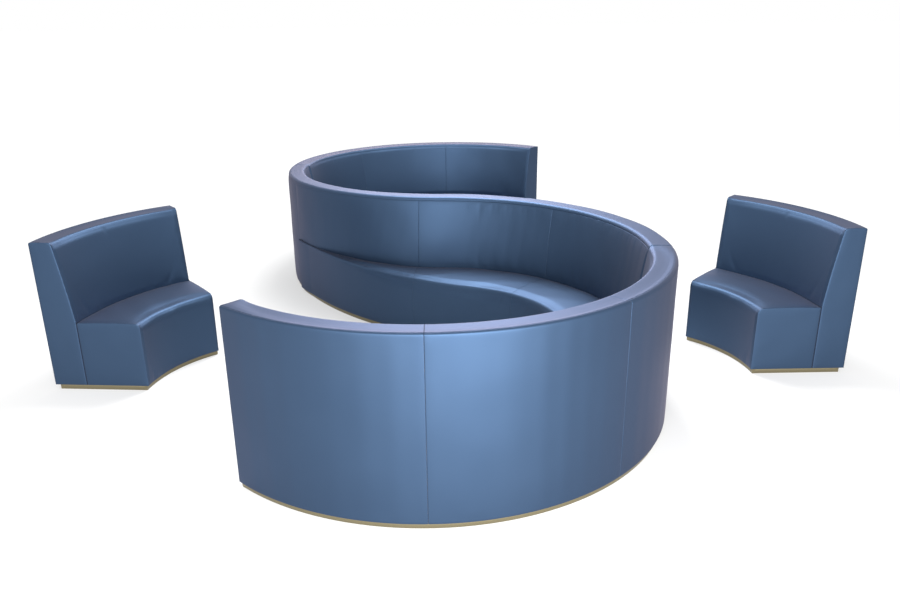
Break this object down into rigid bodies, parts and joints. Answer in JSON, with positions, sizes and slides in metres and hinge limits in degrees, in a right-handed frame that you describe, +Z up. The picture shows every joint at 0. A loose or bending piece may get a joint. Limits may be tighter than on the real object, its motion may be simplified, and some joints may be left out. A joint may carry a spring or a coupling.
{
  "type": "modular sofa",
  "caption": "S-shaped upholstered banquette in modules that pull apart: two back-to-back bowls with tapering seats on a recessed plinth, with loose curved seats that stand beside it.",
  "frame": {"origin": "on the floor, in the middle of the whole set's footprint", "axes": "+Z up; +Y along the S, from the front bowl's centre to the back bowl's; +X to the right as seen from the front bowl"},
  "size_m": [5.0396, 5.4232, 0.96],
  "materials": {
    "pearl_vinyl": "smooth faux leather in a pearly metallic blue",
    "foam": "upholstery foam",
    "plywood": "plain birch plywood",
    "plinth_finish": "plywood faced in a satin champagne gold laminate",
    "steel": "zinc-plated steel"
  },
  "bodies": {
    "middle_module": {"middle_plinth": "plinth_finish", "middle_wall_frame": "plywood", "middle_wall_cap": "pearl_vinyl", "middle_seat_frame_a": "plywood", "middle_seat_foam_a": "foam", "middle_wall_foam_a": "foam", "middle_seat_cover_a": "pearl_vinyl", "middle_wall_cover_a": "pearl_vinyl", "middle_seat_frame_b": "plywood", "middle_seat_foam_b": "foam", "middle_wall_foam_b": "foam", "middle_seat_cover_b": "pearl_vinyl", "middle_wall_cover_b": "pearl_vinyl", "middle_joint_plate_front": "steel", "middle_joint_plate_back": "steel"},
    "front_module": {"front_plinth": "plinth_finish", "front_seat_frame": "plywood", "front_back_frame": "plywood", "front_seat_foam": "foam", "front_back_foam": "foam", "front_seat_cover": "pearl_vinyl", "front_back_cover": "pearl_vinyl", "front_outer_panel_1": "pearl_vinyl", "front_outer_panel_2": "pearl_vinyl", "front_outer_panel_3": "pearl_vinyl", "front_end_panel": "pearl_vinyl", "front_joint_pins": "steel"},
    "back_module": {"back_plinth": "plinth_finish", "back_seat_frame": "plywood", "back_back_frame": "plywood", "back_seat_foam": "foam", "back_back_foam": "foam", "back_seat_cover": "pearl_vinyl", "back_back_cover": "pearl_vinyl", "back_outer_panel_1": "pearl_vinyl", "back_outer_panel_2": "pearl_vinyl", "back_outer_panel_3": "pearl_vinyl", "back_end_panel": "pearl_vinyl", "back_joint_pins": "steel"},
    "left_seat": {"left_seat_plinth": "plinth_finish", "left_seat_seat_frame": "plywood", "left_seat_back_frame": "plywood", "left_seat_seat_foam": "foam", "left_seat_back_foam": "foam", "left_seat_seat_cover": "pearl_vinyl", "left_seat_back_cover": "pearl_vinyl", "left_seat_outer_panel": "pearl_vinyl", "left_seat_end_panel_1": "pearl_vinyl", "left_seat_end_panel_2": "pearl_vinyl"},
    "right_seat": {"right_seat_plinth": "plinth_finish", "right_seat_seat_frame": "plywood", "right_seat_back_frame": "plywood", "right_seat_seat_foam": "foam", "right_seat_back_foam": "foam", "right_seat_seat_cover": "pearl_vinyl", "right_seat_back_cover": "pearl_vinyl", "right_seat_outer_panel": "pearl_vinyl", "right_seat_end_panel_1": "pearl_vinyl", "right_seat_end_panel_2": "pearl_vinyl"}
  },
  "joints": [
    {"name": "front_module_slide", "type": "slide", "parent": "middle_module", "child": "front_module", "axis": [-0.0401, -0.9992, 0], "range_m": [0, 0.6]},
    {"name": "back_module_slide", "type": "slide", "parent": "middle_module", "child": "back_module", "axis": [0.0401, 0.9992, 0], "range_m": [0, 0.6]},
    {"name": "left_seat_slide", "type": "slide", "parent": "middle_module", "child": "left_seat", "axis": [-0.9033, 0.4289, 0], "range_m": [-0.3, 0.3]},
    {"name": "right_seat_slide", "type": "slide", "parent": "middle_module", "child": "right_seat", "axis": [0.8973, 0.4415, 0], "range_m": [-0.3, 0.3]}
  ]
}
